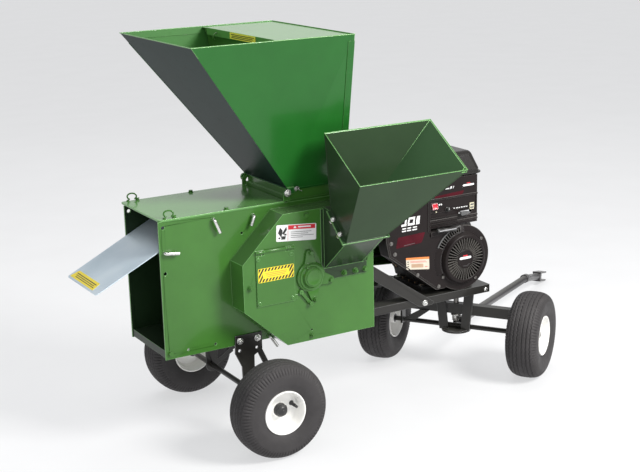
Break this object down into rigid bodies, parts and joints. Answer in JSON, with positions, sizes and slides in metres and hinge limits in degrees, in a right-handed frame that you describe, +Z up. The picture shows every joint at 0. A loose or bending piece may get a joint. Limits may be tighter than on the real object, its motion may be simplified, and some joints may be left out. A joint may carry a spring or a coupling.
{
  "type": "towable wood chipper",
  "caption": "Engine-driven wood chipper and shredder with a large tilting feed hopper, a side branch chute and a steered four-wheel undercarriage with a tow drawbar.",
  "frame": {"origin": "centre of the footprint's bounding box, on the ground", "axes": "+X along the machine towards the drawbar, +Y to the drive-belt side, +Z up"},
  "size_m": [2.5264, 1.1838, 1.364],
  "materials": {
    "green_paint": "gloss",
    "light_green_paint": "gloss",
    "chute_paint": "gloss",
    "black_paint": "satin",
    "engine_black": "satin",
    "engine_cast": "matte",
    "zinc_steel": "satin",
    "galvanised": "satin",
    "tyre_rubber": "matte",
    "rim_paint": "gloss",
    "belt_rubber": "matte",
    "black_plastic": "matte",
    "red_plastic": "gloss",
    "grey_plastic": "matte"
  },
  "bodies": {
    "chassis": {"side_plate_near": "green_paint", "side_plate_far": "green_paint", "floor_plate": "green_paint", "scroll_plate": "green_paint", "top_cover": "light_green_paint", "cover_ring_pins": "zinc_steel", "body_bolts": "zinc_steel", "chipper_housing": "green_paint", "flange_bearings": "green_paint", "grate_screen": "zinc_steel", "screen_rods": "zinc_steel", "chute_inlet": "green_paint", "chipper_chute": "chute_paint", "hopper_neck": "green_paint", "engine_platform": "black_paint", "frame_braces": "black_paint", "kingpin": "zinc_steel", "axle_brackets": "black_paint", "fixed_axle": "black_paint", "engine_block": "engine_cast", "engine_cylinder": "engine_cast", "blower_housing": "engine_black", "recoil_cover": "engine_black", "control_panel": "engine_black", "fuel_tank": "engine_black", "muffler": "engine_cast", "air_cleaner": "black_plastic", "drive_belts": "belt_rubber", "belt_guard": "green_paint"},
    "deflector": {"deflector": "galvanised"},
    "hinge_rod": {"deflector_hinge_rod": "zinc_steel"},
    "rest_rod": {"deflector_rest_rod": "zinc_steel"},
    "access_door": {"access_door": "green_paint"},
    "door_latch": {"door_latch": "green_paint"},
    "rotor": {"rotor_shaft": "zinc_steel", "rotor_discs": "zinc_steel", "chipper_disc": "zinc_steel", "chipper_knives": "zinc_steel", "rotor_pulley": "black_paint"},
    "hammers_a": {"hammers_a": "zinc_steel"},
    "hammers_b": {"hammers_b": "zinc_steel"},
    "crank": {"crankshaft": "zinc_steel", "engine_pulley": "black_paint"},
    "hopper": {"hopper": "chute_paint", "hopper_cover": "light_green_paint"},
    "hopper_flap": {"hopper_flap": "chute_paint"},
    "steered_axle": {"steering_axle": "black_paint"},
    "drawbar": {"drawbar": "black_paint"},
    "wheel_near_fixed": {"tyre_near_fixed": "tyre_rubber", "rim_near_fixed": "rim_paint"},
    "wheel_far_fixed": {"tyre_far_fixed": "tyre_rubber", "rim_far_fixed": "rim_paint"},
    "wheel_near_steer": {"tyre_near_steer": "tyre_rubber", "rim_near_steer": "rim_paint"},
    "wheel_far_steer": {"tyre_far_steer": "tyre_rubber", "rim_far_steer": "rim_paint"},
    "starter_grip": {"starter_grip": "black_plastic"},
    "throttle_lever": {"throttle_lever": "grey_plastic"},
    "engine_switch": {"engine_switch": "red_plastic"},
    "fuel_cap": {"fuel_cap": "black_plastic"}
  },
  "joints": [
    {"name": "deflector_swing", "type": "hinge", "parent": "chassis", "child": "deflector", "pos_m": [-0.84879, -0.11845, 0.784], "axis": [0, 1, 0], "range_deg": [0, 22]},
    {"name": "hinge_rod_pull", "type": "slide", "parent": "chassis", "child": "hinge_rod", "axis": [0, -1, 0], "range_m": [0, 0.33]},
    {"name": "rest_rod_pull", "type": "slide", "parent": "chassis", "child": "rest_rod", "axis": [0, -1, 0], "range_m": [0, 0.33]},
    {"name": "door_swing", "type": "hinge", "parent": "chassis", "child": "access_door", "pos_m": [-0.67179, -0.35645, 0.672], "axis": [-1, 0, 0], "range_deg": [0, 100]},
    {"name": "latch_turn", "type": "hinge", "parent": "chassis", "child": "door_latch", "pos_m": [-0.57679, -0.35595, 0.508], "axis": [0, 1, 0], "range_deg": [0, 54]},
    {"name": "rotor_spin", "type": "hinge", "parent": "chassis", "child": "rotor", "pos_m": [-0.53779, -0.11845, 0.557], "axis": [0, 1, 0], "continuous": true},
    {"name": "hammer_swing_a", "type": "hinge", "parent": "rotor", "child": "hammers_a", "pos_m": [-0.63279, -0.11845, 0.557], "axis": [0, 1, 0], "range_deg": [-35, 120]},
    {"name": "hammer_swing_b", "type": "hinge", "parent": "rotor", "child": "hammers_b", "pos_m": [-0.44279, -0.11845, 0.557], "axis": [0, -1, 0], "range_deg": [-35, 120]},
    {"name": "crank_spin", "type": "hinge", "parent": "chassis", "child": "crank", "pos_m": [0.16221, -0.11845, 0.486], "axis": [0, 1, 0], "continuous": true},
    {"name": "hopper_tilt", "type": "hinge", "parent": "chassis", "child": "hopper", "pos_m": [-0.57279, -0.11845, 0.836], "axis": [0, -1, 0], "range_deg": [0, 45]},
    {"name": "flap_swing", "type": "hinge", "parent": "hopper", "child": "hopper_flap", "pos_m": [-0.64279, -0.11845, 1.347], "axis": [0, 1, 0], "range_deg": [-70, 26]},
    {"name": "steer_swivel", "type": "hinge", "parent": "chassis", "child": "steered_axle", "pos_m": [0.24221, -0.11845, 0.32], "axis": [0, 0, 1], "range_deg": [-72.5, 3.5]},
    {"name": "drawbar_lift", "type": "hinge", "parent": "steered_axle", "child": "drawbar", "pos_m": [0.30155, -0.07767, 0.166], "axis": [0.5664, -0.8241, 0], "range_deg": [0, 55]},
    {"name": "wheel_spin_near_fixed", "type": "hinge", "parent": "chassis", "child": "wheel_near_fixed", "pos_m": [-0.74179, -0.47145, 0.165], "axis": [0, 1, 0], "continuous": true},
    {"name": "wheel_spin_far_fixed", "type": "hinge", "parent": "chassis", "child": "wheel_far_fixed", "pos_m": [-0.74179, 0.23455, 0.165], "axis": [0, 1, 0], "continuous": true},
    {"name": "wheel_spin_near_steer", "type": "hinge", "parent": "steered_axle", "child": "wheel_near_steer", "pos_m": [0.4127, -0.36651, 0.165], "axis": [-0.5664, 0.8241, 0], "continuous": true},
    {"name": "wheel_spin_far_steer", "type": "hinge", "parent": "steered_axle", "child": "wheel_far_steer", "pos_m": [0.07172, 0.12961, 0.165], "axis": [-0.5664, 0.8241, 0], "continuous": true},
    {"name": "starter_pull", "type": "slide", "parent": "chassis", "child": "starter_grip", "axis": [0, -1, 0], "range_m": [0, 0.45], "stiffness_N_per_m": 30, "springref_m": -0.2},
    {"name": "throttle_move", "type": "slide", "parent": "chassis", "child": "throttle_lever", "axis": [1, 0, 0], "range_m": [0, 0.04]},
    {"name": "switch_press", "type": "slide", "parent": "chassis", "child": "engine_switch", "axis": [0, 1, 0], "range_m": [0, 0.004], "stiffness_N_per_m": 400, "springref_m": -0.002},
    {"name": "cap_turn", "type": "hinge", "parent": "chassis", "child": "fuel_cap", "pos_m": [-0.00279, -0.09695, 0.888], "axis": [0, 0, 1], "range_deg": [0, 90]}
  ],
  "couplings": [
    {"joint": "crank_spin", "follows": "rotor_spin", "ratio": 1.25}
  ]
}
